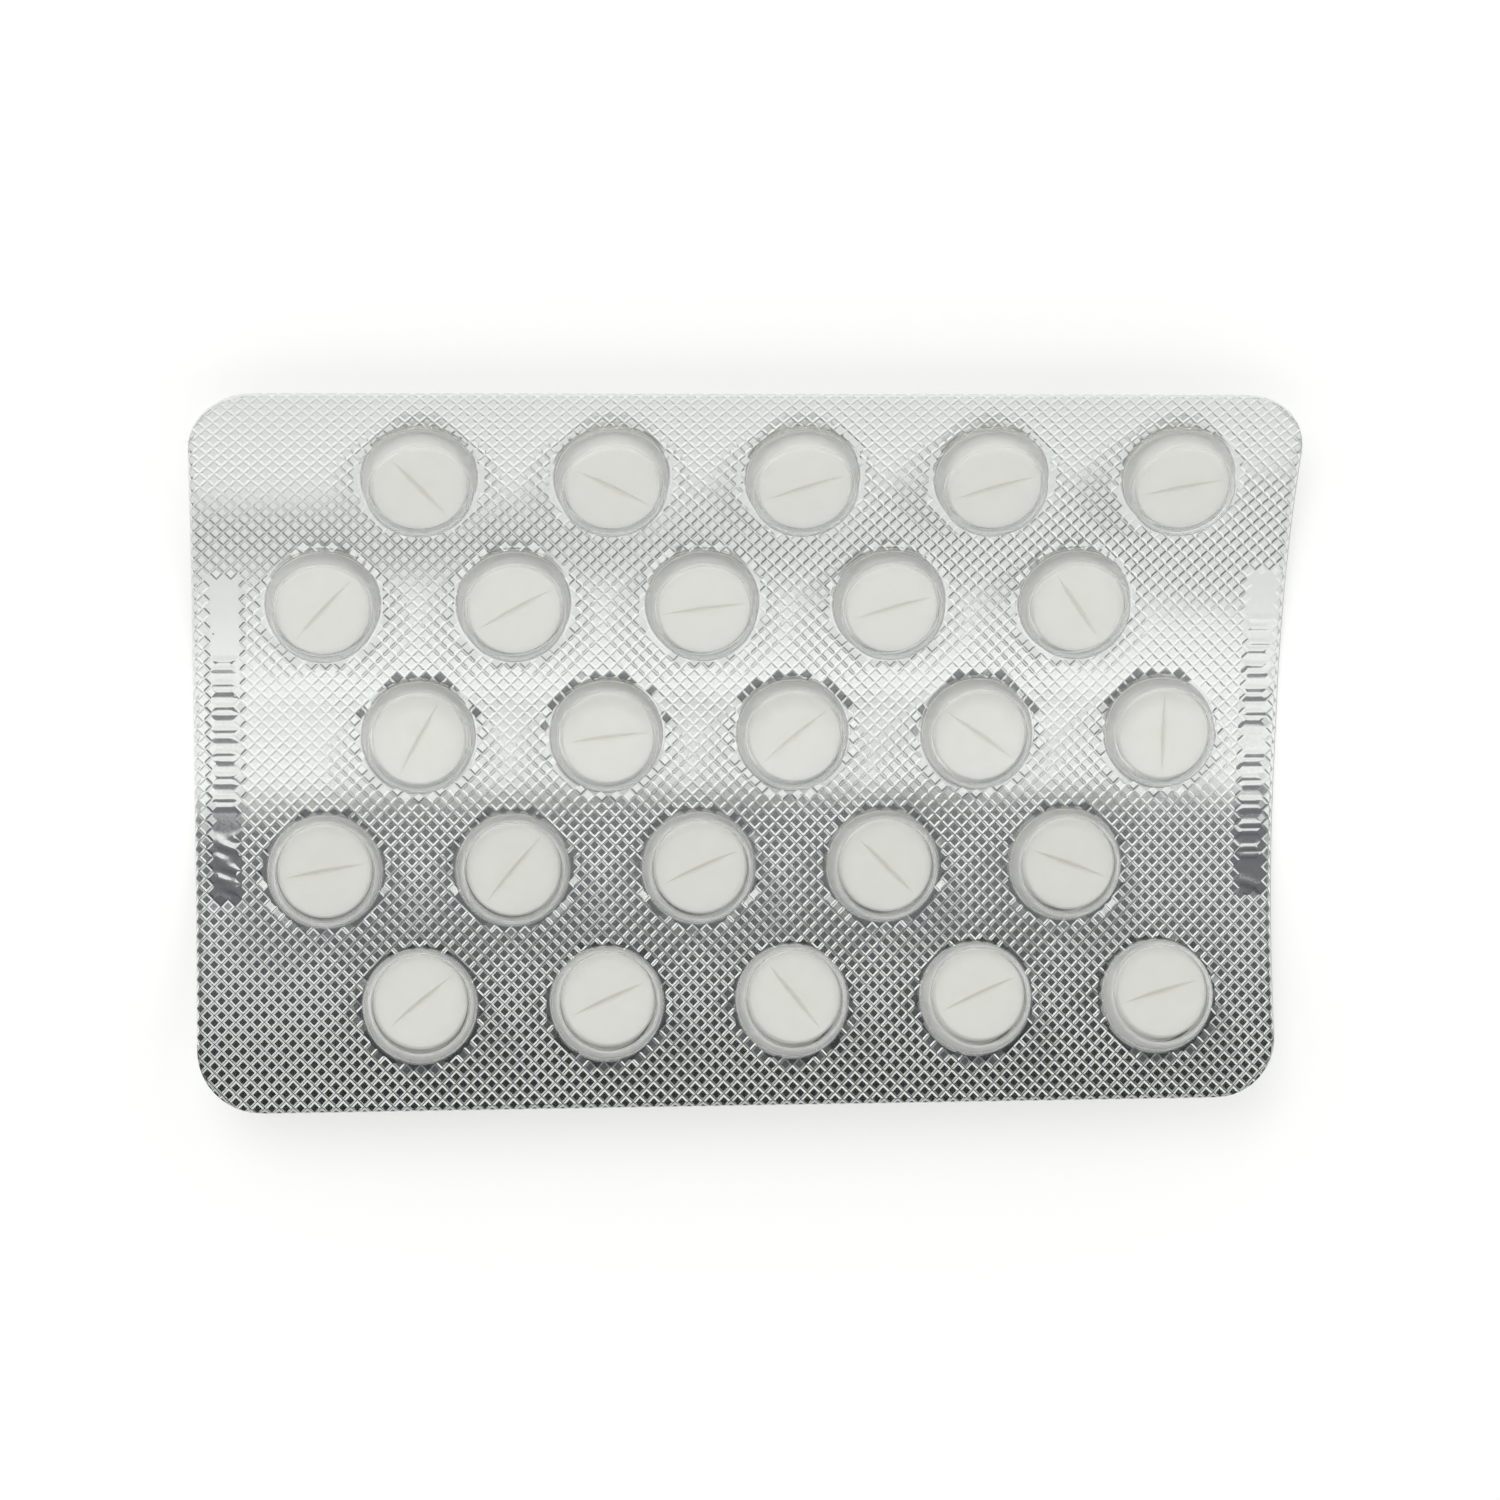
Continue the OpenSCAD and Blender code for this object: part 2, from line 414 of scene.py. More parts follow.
def foil_object():
    flat = np.stack([foil_u, foil_s], axis=-1)
    pressed = clean_faces(flat, skin)
    smooth = clean_faces(flat, smooth_skin)
    faces = pressed + smooth
    keys = np.unique([v for f in faces for v in f])
    ids = {v: k for k, v in enumerate(keys)}
    faces = [tuple(ids[v] for v in f) for f in faces]
    u, s = foil_u[keys], foil_s[keys]
    pits = np.zeros(len(foil_u))
    pits[:len(net)] = net[:, 2] * mask * pit_depth
    depth = np.maximum(pits, stamped(foil_u, foil_s))[keys]
    top = on_curl(u, s, -depth - 0.002)
    low = on_curl(u, s, -depth - 0.002 - leaf_t)
    shift = len(keys)
    edges = {(f[k], f[(k + 1) % len(f)]) for f in faces for k in range(len(f))}
    border = [e for e in edges if (e[1], e[0]) not in edges]
    under = [tuple(v + shift for v in reversed(f)) for f in faces]
    rim = [(b, a, a + shift, b + shift) for a, b in border]
    answers = ([False] * len(pressed) + [True] * len(smooth)) * 2 + [False] * len(rim)
    thing = make_object("foil_leaf", np.concatenate([top, low]), faces + under + rim, answers)
    return thing, len(border)


foil, border_count = foil_object()
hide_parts("lidding_foil")
print("foil triangles:", count_triangles(foil), "border edges:", border_count)

# %% [markdown]
# The film is a sheet of clear plastic, warmed and sucked into a mould. Its pockets have walls that lean a little,
# so that they leave the mould, a round shoulder under the roof, and a small bend at the foot. Each pocket is
# turned from one section, as a potter turns a bowl.

# %% The section of a pocket
def section(mouth, height, shoulder, root, foot_z, bend_steps, wall_steps, shoulder_steps, roof_steps):
    """Radius and height of the section, from the foot of the bend to the middle of the roof."""
    arc_z = height - shoulder
    wall_top_z = arc_z + shoulder * math.sin(draft)
    arc_r = mouth - wall_top_z * math.tan(draft) - shoulder * math.cos(draft)
    bend_z = foot_z + root
    bend_r = mouth - bend_z * math.tan(draft) + root / math.cos(draft)
    points = []
    for i in range(bend_steps + 1):
        a = math.radians(90) - (math.radians(90) + draft) * i / bend_steps
        points.append((bend_r - root * math.cos(a), bend_z - root * math.sin(a)))
    foot_of_wall = points[-1]
    top_of_wall = (arc_r + shoulder * math.cos(draft), arc_z + shoulder * math.sin(draft))
    for i in range(1, wall_steps):
        t = i / wall_steps
        points.append(tuple(foot_of_wall[k] * (1 - t) + top_of_wall[k] * t for k in (0, 1)))
    for i in range(shoulder_steps + 1):
        a = draft + (math.pi / 2 - draft) * i / shoulder_steps
        points.append((arc_r + shoulder * math.cos(a), arc_z + shoulder * math.sin(a)))
    for i in range(1, roof_steps):
        points.append((arc_r * (1 - i / roof_steps), height))
    return points


def rise(s, d):
    """Height of the curl at s + d over the plane that touches it at s."""
    y0, z0 = seal_yz(s)
    y1, z1 = seal_yz(s + d)
    t = float(turn_at(s))
    return float((z1 - z0) * math.cos(t) - (y1 - y0) * math.sin(t))


pocket_h = tablet_t + seat_gap + rise(pitch_y, flat_face_r + abs(tablet_slip)) + head_gap
outside = section(mouth_r + wall_t, pocket_h + wall_t, shoulder_r + wall_t, root_r, film_t, 5, 3, 6, 3)
inside = section(mouth_r, pocket_h, shoulder_r, root_r + wall_t, 0.0, 5, 3, 6, 3)
print("pocket", round(pocket_h + wall_t, 3), "mm high over the seal,", len(outside), "steps up its section")

# %% [markdown]
# Between the pockets the film is a plain sheet. Its corners are spread evenly, and every pocket leaves a round
# hole whose rim is shared with the pocket, so film and pocket are one skin. Blender's own triangulation joins
# the scattered corners.

# %% Lay the sheet between the pockets
around = 72
ring_turns = np.arange(around) * 2 * math.pi / around


def outline_points(edge, step=0.6):
    """Points along the card's rounded outline, drawn in by edge."""
    half_w, half_h, radius = card_w / 2 - corner_r, card_h / 2 - corner_r, corner_r - edge
    points = []
    for k, (cu, cs) in enumerate([(half_w, half_h), (-half_w, half_h), (-half_w, -half_h), (half_w, -half_h)]):
        for a in np.linspace(0, math.pi / 2, 12):
            t = k * math.pi / 2 + a
            points.append((cu + radius * math.cos(t), cs + radius * math.sin(t)))
        nxt = [(-half_w, half_h), (-half_w, -half_h), (half_w, -half_h), (half_w, half_h)][k]
        t = (k + 1) * math.pi / 2
        start = np.array([cu + radius * math.cos(t), cs + radius * math.sin(t)])
        end = np.array([nxt[0] + radius * math.cos(t), nxt[1] + radius * math.sin(t)])
        n = int(np.linalg.norm(end - start) / step)
        for i in range(1, n):
            points.append(tuple(start + (end - start) * i / n))
    return np.array(points)


def sheet_layout(foot_r, edge, spacing=1.25):
    """Flat triangles between the outline and the pocket rings. The first corners are the outline and the rings."""
    outline = outline_points(edge)
    points = [outline]
    bounds_edges = [(i, (i + 1) % len(outline)) for i in range(len(outline))]
    first_ring = len(outline)
    for _, _, pu, ps in pockets:
        base = sum(len(p) for p in points)
        ring = np.stack([pu + foot_r * np.cos(ring_turns), ps + foot_r * np.sin(ring_turns)], axis=-1)
        points.append(ring)
        bounds_edges += [(base + (i + 1) % around, base + i) for i in range(around)]
    gu, gs = np.meshgrid(np.arange(-card_w / 2, card_w / 2, spacing), np.arange(-card_h / 2, card_h / 2, spacing))
    gu, gs = gu.ravel() + 0.31, gs.ravel() + 0.17
    keep = inside_card(gu, gs) > edge + 0.5
    for _, _, pu, ps in pockets:
        keep &= np.hypot(gu - pu, gs - ps) > foot_r + 0.35
    points.append(np.stack([gu[keep], gs[keep]], axis=-1))
    flat = np.concatenate(points)
    result = delaunay_2d_cdt([Vector(p) for p in flat], bounds_edges, [], 0, 1e-7)
    places = np.array([tuple(v) for v in result[0]])
    tris = np.array(result[2])
    centre = places[tris].mean(axis=1)
    good = inside_card(centre[:, 0], centre[:, 1]) > edge
    for _, _, pu, ps in pockets:
        good &= np.hypot(centre[:, 0] - pu, centre[:, 1] - ps) > foot_r * math.cos(math.pi / around) - 0.003
    return places, tris[good], len(outline), first_ring


foot_r = outside[0][0]
sheet, sheet_tris, outline_count, first_ring = sheet_layout(foot_r, 0.02)
print("sheet corners:", len(sheet), "triangles:", len(sheet_tris))

# %% [markdown]
# The roof of a pocket is flat, although the card round it is curled. So a pocket starts on the curl at its foot,
# and goes over to its own straight axis on the way up its wall.

# %% Turn the pockets
def pocket_rings(pu, ps, profile, foot_height):
    """Rings of places up one pocket; the first ring lies on the sheet."""
    t = float(turn_at(ps))
    y0, z0 = seal_yz(ps)
    rings = []
    top = profile[-1][1]
    for radius, z in profile:
        du, ds = radius * np.cos(ring_turns), radius * np.sin(ring_turns)
        curled = on_curl(pu + du, ps + ds, np.full(around, z))
        straight = np.stack([
            pu + du,
            y0 + ds * math.cos(t) - z * math.sin(t),
            z0 + ds * math.sin(t) + z * math.cos(t),
        ], axis=-1)
        share = min(max((z - foot_height) / (0.75 * (top - foot_height)), 0), 1)
        share = share * share * (3 - 2 * share)
        rings.append(curled * (1 - share) + straight * share)
    middle = np.array([pu, y0 - top * math.sin(t), z0 + top * math.cos(t)])
    return rings, middle


def drawn_share(z, profile):
    """1 on the wall, where the film was stretched most, fading out on the bend and on the shoulder."""
    foot, top = profile[0][1], profile[-1][1]
    up = (z - foot) / (top - foot)
    return float(np.clip(up / 0.12, 0, 1) * np.clip((1 - up) / 0.06, 0, 1))


def film_side(height, profile, flip):
    """One side of the film: the sheet and its 25 pockets."""
    corners = [on_curl(sheet[:, 0], sheet[:, 1], np.full(len(sheet), height))]
    drawn = [np.zeros(len(sheet))]
    faces = [tuple(t) for t in sheet_tris]
    wall_share = [drawn_share(z, profile) for _, z in profile]
    total = len(sheet)
    for k, (_, _, pu, ps) in enumerate(pockets):
        rings, middle = pocket_rings(pu, ps, profile, height)
        ring_ids = first_ring + k * around + np.arange(around)
        previous = ring_ids
        for ring, share in zip(rings[1:], wall_share[1:]):
            ids = total + np.arange(around)
            corners.append(ring)
            drawn.append(np.full(around, share))
            total += around
            for i in range(around):
                j = (i + 1) % around
                faces.append((previous[i], previous[j], ids[j], ids[i]))
            previous = ids
        corners.append(middle[None])
        drawn.append(np.zeros(1))
        for i in range(around):
            faces.append((previous[i], previous[(i + 1) % around], total))
        total += 1
    if flip:
        faces = [tuple(reversed(f)) for f in faces]
    return np.concatenate(corners), faces, np.concatenate(drawn)


# %% [markdown]
# The film has two sides, a quarter of a millimetre apart on the sheet and less where it was drawn out. Both are
# modelled, because clear plastic bends light at each of them. A rim joins them at the cut edge.

# %% Join both sides of the film
def match_radius(profile, wanted):
    """The same section with its foot moved to the radius of the shared ring."""
    profile = list(profile)
    profile[0] = (wanted, profile[0][1])
    return profile


film_gap = 0.008
top_corners, top_faces, top_drawn = film_side(film_t, match_radius(outside, foot_r), False)
low_section = [(r, max(z, film_gap)) for r, z in match_radius(inside, foot_r)]
low_corners, low_faces, low_drawn = film_side(film_gap, low_section, True)
shift = len(top_corners)
rim = [(i, i + shift, (i + 1) % outline_count + shift, (i + 1) % outline_count) for i in range(outline_count)]
film = make_object(
    "clear_film",
    np.concatenate([top_corners, low_corners]),
    top_faces + [tuple(v + shift for v in f) for f in low_faces] + rim,
    [True] * (len(top_faces) + len(low_faces)) + [False] * len(rim),
)
roof_rings = 3
one_pocket = [1] * (around * (len(outside) - roof_rings)) + [0] * (around * roof_rings)
one_side = [0] * len(sheet_tris) + one_pocket * len(pockets)
assert len(one_side) == len(top_faces) == len(low_faces)
film_parts = one_side * 2 + [2] * len(rim)
mark = film.data.attributes.new("drawn", "FLOAT", "POINT")
mark.data.foreach_set("value", np.concatenate([top_drawn, low_drawn]))
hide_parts("blister_film")
print("film triangles:", count_triangles(film))

# %% [markdown]
# A tablet is powder pressed in a steel die. Its edges are never knife sharp, and the score is a V pressed by a
# round bar, so it fades out before the rim. The top is laid as a grid whose lines follow the score, because a
# grid that crosses a groove at a slant makes it ragged.

# %% One tablet, laid flat
score_bar_r = ((score_len / 2) ** 2 + score_depth ** 2) / (2 * score_depth)
half_round = 48


def score_profile(x):
    deep = score_depth - (score_bar_r - np.sqrt(np.maximum(score_bar_r ** 2 - x ** 2, 0)))
    return np.maximum(deep, 0.0)


def soft_v(v):
    """A V groove of depth 1 and half width 1, with rounded edges and a rounded bottom."""
    away = 1 - np.sqrt(v * v + 0.012)
    return 0.5 * (away + np.sqrt(away * away + 0.02))


def tablet_mesh():
    corners, faces = [], []
    turns = np.pi * np.arange(half_round + 1) / half_round
    xs = -flat_face_r * np.cos(turns)
    groove_lines = np.array([0, 0.18, 0.45, 0.72, 0.9, 1.0, 1.12, 1.35, 1.7])
    outer_shares = np.array([0.12, 0.3, 0.52, 0.76, 1.0])
    column_ids = []
    for i, x in enumerate(xs):
        chord = math.sqrt(max(flat_face_r ** 2 - x * x, 0))
        deep = float(score_profile(np.array(x)))
        half = max(deep * math.tan(score_angle / 2), 0.05)
        half = min(half, chord / 2.2) if chord > 1e-6 else 0
        inner = groove_lines * half
        outer = inner[-1] + (chord - inner[-1]) * outer_shares
        up = np.concatenate([inner, outer])
        ys = np.concatenate([-up[:0:-1], up])
        ids = []
        if i in (0, half_round):
            ids = [len(corners)] * len(ys)
            corners.append((x, 0, tablet_t))
        else:
            for y in ys:
                z = tablet_t - deep * float(soft_v(np.array(y / half)))
                ids.append(len(corners))
                corners.append((x, y, z))
        column_ids.append(ids)
    for a, b in zip(column_ids, column_ids[1:]):
        for k in range(len(a) - 1):
            face = [a[k], b[k], b[k + 1], a[k + 1]]
            ring = [v for n, v in enumerate(face) if v != face[n - 1]]
            if len(ring) > 2:
                faces.append(tuple(ring))
    lower = [ids[0] for ids in column_ids]
    upper = [ids[-1] for ids in column_ids][::-1]
    previous = lower + upper[1:-1]
    count = len(previous)
    around_turns = np.array([math.atan2(corners[v][1], corners[v][0]) for v in previous])
    for radius, z in edge_section():
        ids = []
        for t in around_turns:
            ids.append(len(corners))
            corners.append((radius * math.cos(t), radius * math.sin(t), z))
        for i in range(count):
            j = (i + 1) % count
            faces.append((previous[i], ids[i], ids[j], previous[j]))
        previous = ids
    ids_mid = len(corners)
    corners.append((0, 0, 0))
    for i in range(count):
        faces.append((previous[i], ids_mid, previous[(i + 1) % count]))
    return np.array(corners, float), faces


def edge_section():
    """Radius and height down the side, with a slightly softened bevel above and below."""
    soft = 0.05
    b = bevel
    top = [
        (flat_face_r + soft * 0.6, tablet_t - soft * 0.22),
        (flat_face_r + b * 0.5, tablet_t - b * 0.46),
        (tablet_r - soft * 0.22, tablet_t - b + soft * 0.2),
        (tablet_r, tablet_t - b - soft),
    ]
    low = [(r, tablet_t - z) for r, z in reversed(top)]
    middle = [(tablet_r, tablet_t / 2)]
    return top + middle + low + [(flat_face_r, 0.0), (flat_face_r * 0.5, 0.0)]


plain_tablet, tablet_faces = tablet_mesh()
from_middle = np.hypot(plain_tablet[:, 0], plain_tablet[:, 1])
on_face = (plain_tablet[:, 2] > tablet_t / 2) & (from_middle < flat_face_r - 0.01)
groove_depth = np.where(on_face, tablet_t - plain_tablet[:, 2], 0.0)
# A power under 1 makes the painted shade of the score reach well up the flanks and towards both ends
pressed = (groove_depth / score_depth).clip(0, 1) ** 0.35
print("corners in one tablet:", len(plain_tablet), "deepest score:", round(float(groove_depth.max()), 3), "mm")

# %% [markdown]
# Every tablet lies on the foil of its own pocket, turned at random by the machine that filled the card. The turn
# of each score line is read from the photograph. All tablets lie a little towards the far edge, where they slid.

# %% Put a tablet in each pocket
def place_tablet(r, c, pu, ps):
    t = float(turn_at(ps))
    lift = max(rise(ps, tablet_slip + flat_face_r), rise(ps, tablet_slip - flat_face_r)) + seat_gap
    spin = math.radians(score_turns[r - 1][c - 1])
    x = plain_tablet[:, 0] * math.cos(spin) - plain_tablet[:, 1] * math.sin(spin)
    y = plain_tablet[:, 0] * math.sin(spin) + plain_tablet[:, 1] * math.cos(spin) + tablet_slip
    z = plain_tablet[:, 2] + lift
    y0, z0 = seal_yz(ps)
    corners = np.stack([
        pu + x,
        y0 + y * math.cos(t) - z * math.sin(t),
        z0 + y * math.sin(t) + z * math.cos(t),
    ], axis=-1)
    thing = make_object(f"tablet_in_{r}_{c}", corners, tablet_faces)
    # The score's depth goes with each tablet, to place the painted shade in its groove
    thing.data.attributes.new("pressed", "FLOAT", "POINT").data.foreach_set("value", pressed)
    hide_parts(f"tablet_{r}_{c}")
    return thing


tablets = [place_tablet(r, c, pu, ps) for r, c, pu, ps in pockets]
print("tablets:", len(tablets), "triangles in each:", count_triangles(tablets[0]))

# %% [markdown]
# Colours are written as they look on a screen, and Blender works with light, so one function turns a screen colour
# into an amount of light. A second one adds a shader node with its settings and links, which keeps each
# material short.

# %% Helpers for materials
def light_of(code):
    """Linear colour of a screen colour such as #DDE0E2."""
    values = [int(code[k:k + 2], 16) / 255 for k in (1, 3, 5)]
    return tuple(v / 12.92 if v <= 0.04045 else ((v + 0.055) / 1.055) ** 2.4 for v in values) + (1.0,)


def new_tree(owner):
    owner.use_nodes = True
    owner.node_tree.nodes.clear()
    return owner.node_tree


def add_node(tree, kind, settings=None, **inputs):
    """Adds a node. Settings are its own fields; inputs are values or links, by socket name or number (i0, i1)."""
    node = tree.nodes.new(kind)
    for key, value in (settings or {}).items():
        setattr(node, key, value)
    for name, value in inputs.items():
        by_number = name[0] == "i" and name[1:].isdigit()
        socket = node.inputs[int(name[1:]) if by_number else name.replace("_", " ")]
        if isinstance(value, bpy.types.NodeSocket):
            tree.links.new(value, socket)
        else:
            socket.default_value = value
    return node


# %% [markdown]
# The film is rigid PVC. Between the pockets, and on their flat roofs, it is an even sheet, which shifts what is
# under it by a hair's breadth only, so it is made as clear air with a gloss: 4.4 percent straight on, and more at
# a slant. The light then reaches the foil directly, which keeps the fine pattern crisp.

# %% Clear flat sheet
def slow_bump(tree, scale, strength):
    place = add_node(tree, "ShaderNodeTexCoord").outputs["Object"]
    waves = add_node(tree, "ShaderNodeTexNoise", Vector=place, Scale=scale, Detail=0.0)
    bump = add_node(tree, "ShaderNodeBump", Strength=strength, Distance=0.0001, Height=waves.outputs["Fac"])
    return bump.outputs["Normal"]


def flat_film_material():
    material = bpy.data.materials.new("rigid PVC film, clear, calendered")
    tree = new_tree(material)
    normal = slow_bump(tree, 420.0, 0.1)
    facing = add_node(tree, "ShaderNodeLayerWeight", Blend=0.5, Normal=normal).outputs["Facing"]
    steep = add_node(tree, "ShaderNodeMath", {"operation": "POWER"}, i0=facing, i1=5.0)
    slant = add_node(tree, "ShaderNodeMapRange", Value=steep.outputs[0], To_Min=0.044, To_Max=1.0)
    clear = add_node(tree, "ShaderNodeBsdfTransparent", Color=light_of("#FBFCFC"))
    gloss = add_node(tree, "ShaderNodeBsdfAnisotropic", Color=(1, 1, 1, 1), Roughness=0.05, Normal=normal)
    mixed = add_node(tree, "ShaderNodeMixShader", i0=slant.outputs[0], i1=clear.outputs[0], i2=gloss.outputs[0])
    add_node(tree, "ShaderNodeOutputMaterial", Surface=mixed.outputs[0])
    return material


film.data.materials.append(flat_film_material())
print("sheet material:", film.data.materials[0].name)

# %% [markdown]
# The walls, shoulders and foot bends of the pockets bend light, as a small lens does, so there the film is made as
# true clear plastic. Where it was stretched most, on the walls, rigid PVC turns a little milky. Shadow rays pass
# it as tinted air, because Cycles would find almost no light under it otherwise.

# %% Clear drawn pockets
def drawn_film_material():
    material = bpy.data.materials.new("rigid PVC film, clear, thermoformed")
    tree = new_tree(material)
    drawn = add_node(tree, "ShaderNodeAttribute", {"attribute_name": "drawn"}).outputs["Fac"]
    rough = add_node(tree, "ShaderNodeMapRange", Value=drawn, To_Min=0.03, To_Max=0.18)
    plastic = add_node(
        tree, "ShaderNodeBsdfPrincipled", Base_Color=light_of("#FDFDFD"), Roughness=rough.outputs["Result"],
        IOR=1.53, Transmission_Weight=1.0, Normal=slow_bump(tree, 420.0, 0.12),
    )
    through = add_node(tree, "ShaderNodeBsdfTranslucent", Color=light_of("#ECEDEB"))
    back = add_node(tree, "ShaderNodeBsdfDiffuse", Color=light_of("#ECEDEB"))
    milk = add_node(tree, "ShaderNodeMixShader", i0=0.5, i1=through.outputs[0], i2=back.outputs[0])
    haze = add_node(tree, "ShaderNodeMath", {"operation": "MULTIPLY"}, i0=drawn, i1=0.38)
    body = add_node(tree, "ShaderNodeMixShader", i0=haze.outputs[0], i1=plastic.outputs[0], i2=milk.outputs[0])
    shadow = add_node(tree, "ShaderNodeLightPath").outputs["Is Shadow Ray"]
    clear = add_node(tree, "ShaderNodeBsdfTransparent", Color=light_of("#FAFBFB"))
    mixed = add_node(tree, "ShaderNodeMixShader", i0=shadow, i1=body.outputs[0], i2=clear.outputs[0])
    add_node(tree, "ShaderNodeOutputMaterial", Surface=mixed.outputs[0])
    return material


film.data.materials.append(drawn_film_material())
print("pocket material:", film.data.materials[1].name)

# %% [markdown]
# The punch that stamps out the card leaves a dull, whitish edge. Each face of the film then gets its material by
# what it is: sheet, pocket or edge.

# %% Punched edge
def cut_edge_material():
    material = bpy.data.materials.new("rigid PVC film, punched edge")
    tree = new_tree(material)
    edge = add_node(
        tree, "ShaderNodeBsdfPrincipled", Base_Color=light_of("#E6E8E8"), Roughness=0.5, IOR=1.53,
        Transmission_Weight=0.3,
    )
    add_node(tree, "ShaderNodeOutputMaterial", Surface=edge.outputs[0])
    return material


film.data.materials.append(cut_edge_material())
film.data.polygons.foreach_set("material_index", film_parts)
print("film faces: sheet", film_parts.count(0), "pockets", film_parts.count(1), "edge", film_parts.count(2))

# %% [markdown]
# Lidding foil is hard aluminium, rolled bright and coated with a clear lacquer that seals to the film. The lacquer
# and the rolling marks spread its reflection a little.

# %% Rolled aluminium foil
def foil_material():
    material = bpy.data.materials.new("hard aluminium foil, rolled, lacquered and embossed")
    tree = new_tree(material)
    place = add_node(tree, "ShaderNodeTexCoord").outputs["Object"]
    slow = add_node(tree, "ShaderNodeTexNoise", Vector=place, Scale=260.0, Detail=1.0, Roughness=0.5)
    bump = add_node(tree, "ShaderNodeBump", Strength=0.2, Distance=0.0001, Height=slow.outputs["Fac"])
    fine = add_node(tree, "ShaderNodeTexNoise", Vector=place, Scale=5200.0, Detail=0.0)
    haze = add_node(tree, "ShaderNodeMapRange", Value=fine.outputs["Fac"], From_Min=0.3, From_Max=0.7,
                    To_Min=0.09, To_Max=0.16)
    metal = add_node(
        tree, "ShaderNodeBsdfPrincipled", Base_Color=light_of("#EEEEEB"), Metallic=1.0,
        Roughness=haze.outputs["Result"], Normal=bump.outputs["Normal"],
    )
    add_node(tree, "ShaderNodeOutputMaterial", Surface=metal.outputs[0])
    return material


foil.data.materials.append(foil_material())
print("foil material:", foil.data.materials[0].name)

# %% [markdown]
# A tablet is pressed white powder: matt, faintly uneven in tone, with a fine grain that only shows up close. The
# score carries painted shade: down its groove the colour turns darker and warmer, standing in for the shade that
# falls there.

# %% Pressed powder
def powder_material():
    material = bpy.data.materials.new("white tablet powder, pressed")
    tree = new_tree(material)
    place = add_node(tree, "ShaderNodeTexCoord").outputs["Object"]
    grain = add_node(tree, "ShaderNodeTexNoise", Vector=place, Scale=6500.0, Detail=1.0, Roughness=0.7)
    bump = add_node(tree, "ShaderNodeBump", Strength=0.35, Distance=0.00004, Height=grain.outputs["Fac"])
    cloud = add_node(tree, "ShaderNodeTexNoise", Vector=place, Scale=900.0, Detail=1.0, Roughness=0.5)
    tone = add_node(tree, "ShaderNodeMix", {"data_type": "RGBA"}, i0=cloud.outputs["Fac"],
                    i6=light_of("#EDEAE3"), i7=light_of("#F4F1EB"))
    # Painted shade: the score is mixed towards a darker, warmer colour, in place of the shade that falls in the
    # groove
    packed = add_node(tree, "ShaderNodeAttribute", {"attribute_name": "pressed"}).outputs["Fac"]
    share = add_node(tree, "ShaderNodeMath", {"operation": "MULTIPLY"}, i0=packed, i1=0.35)
    tone = add_node(tree, "ShaderNodeMix", {"data_type": "RGBA"}, i0=share.outputs[0],
                    i6=tone.outputs[2], i7=light_of("#CDC9BC"))
    powder = add_node(
        tree, "ShaderNodeBsdfPrincipled", Base_Color=tone.outputs[2], Roughness=0.75, IOR=1.5,
        Normal=bump.outputs["Normal"],
    )
    add_node(tree, "ShaderNodeOutputMaterial", Surface=powder.outputs[0])
    return material


powder = powder_material()
for tablet in tablets:
    tablet.data.materials.append(powder)
print("powder material:", powder.name)

# %% [markdown]
# The card lies on plain white paper. The paper is lit like everything else and keeps the card's shadow. The
# camera sees it a little brighter than it is, as a photographer would light a white background apart.

# %% The floor
def floor_material():
    material = bpy.data.materials.new("white paper, matt")
    tree = new_tree(material)
    path = add_node(tree, "ShaderNodeLightPath")
    seen = add_node(tree, "ShaderNodeMath", {"operation": "MAXIMUM"},
                    i0=path.outputs["Is Camera Ray"], i1=path.outputs["Is Transmission Ray"])
    seen = add_node(tree, "ShaderNodeMath", {"operation": "MAXIMUM"},
                    i0=seen.outputs[0], i1=path.outputs["Is Glossy Ray"])
    lift = add_node(tree, "ShaderNodeMath", {"operation": "MULTIPLY"}, i0=seen.outputs[0], i1=0.3)
    paper = add_node(tree, "ShaderNodeBsdfDiffuse", Color=light_of("#DEDEDC"))
    glow = add_node(tree, "ShaderNodeEmission", Color=(1, 1, 1, 1), Strength=lift.outputs[0])
    both = add_node(tree, "ShaderNodeAddShader", i0=paper.outputs[0], i1=glow.outputs[0])
    add_node(tree, "ShaderNodeOutputMaterial", Surface=both.outputs[0])
    return material


def make_floor(half=0.9):
    mesh = bpy.data.meshes.new("paper_floor")
    mesh.from_pydata([(-half, -half, 0), (half, -half, 0), (half, half, 0), (-half, half, 0)], [], [(0, 1, 2, 3)])
    floor = bpy.data.objects.new("paper_floor", mesh)
    bpy.context.collection.objects.link(floor)
    floor.location.z = -0.00002
    floor.data.materials.append(floor_material())
    floor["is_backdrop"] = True
    return floor


floor = make_floor()
print("floor:", floor.name)

# %% [markdown]
# Shiny foil shows whatever is round it, so the light is a white tent: bright on every side, with a dark gap where
# the camera looks in. The gap is two ovals joined, one wide and low and one tall, as a photographer's shoulders
# and head would leave. The tall one draws the dark diamonds in the near half of the card, and the wide one the
# thin dark slopes in the middle rows.

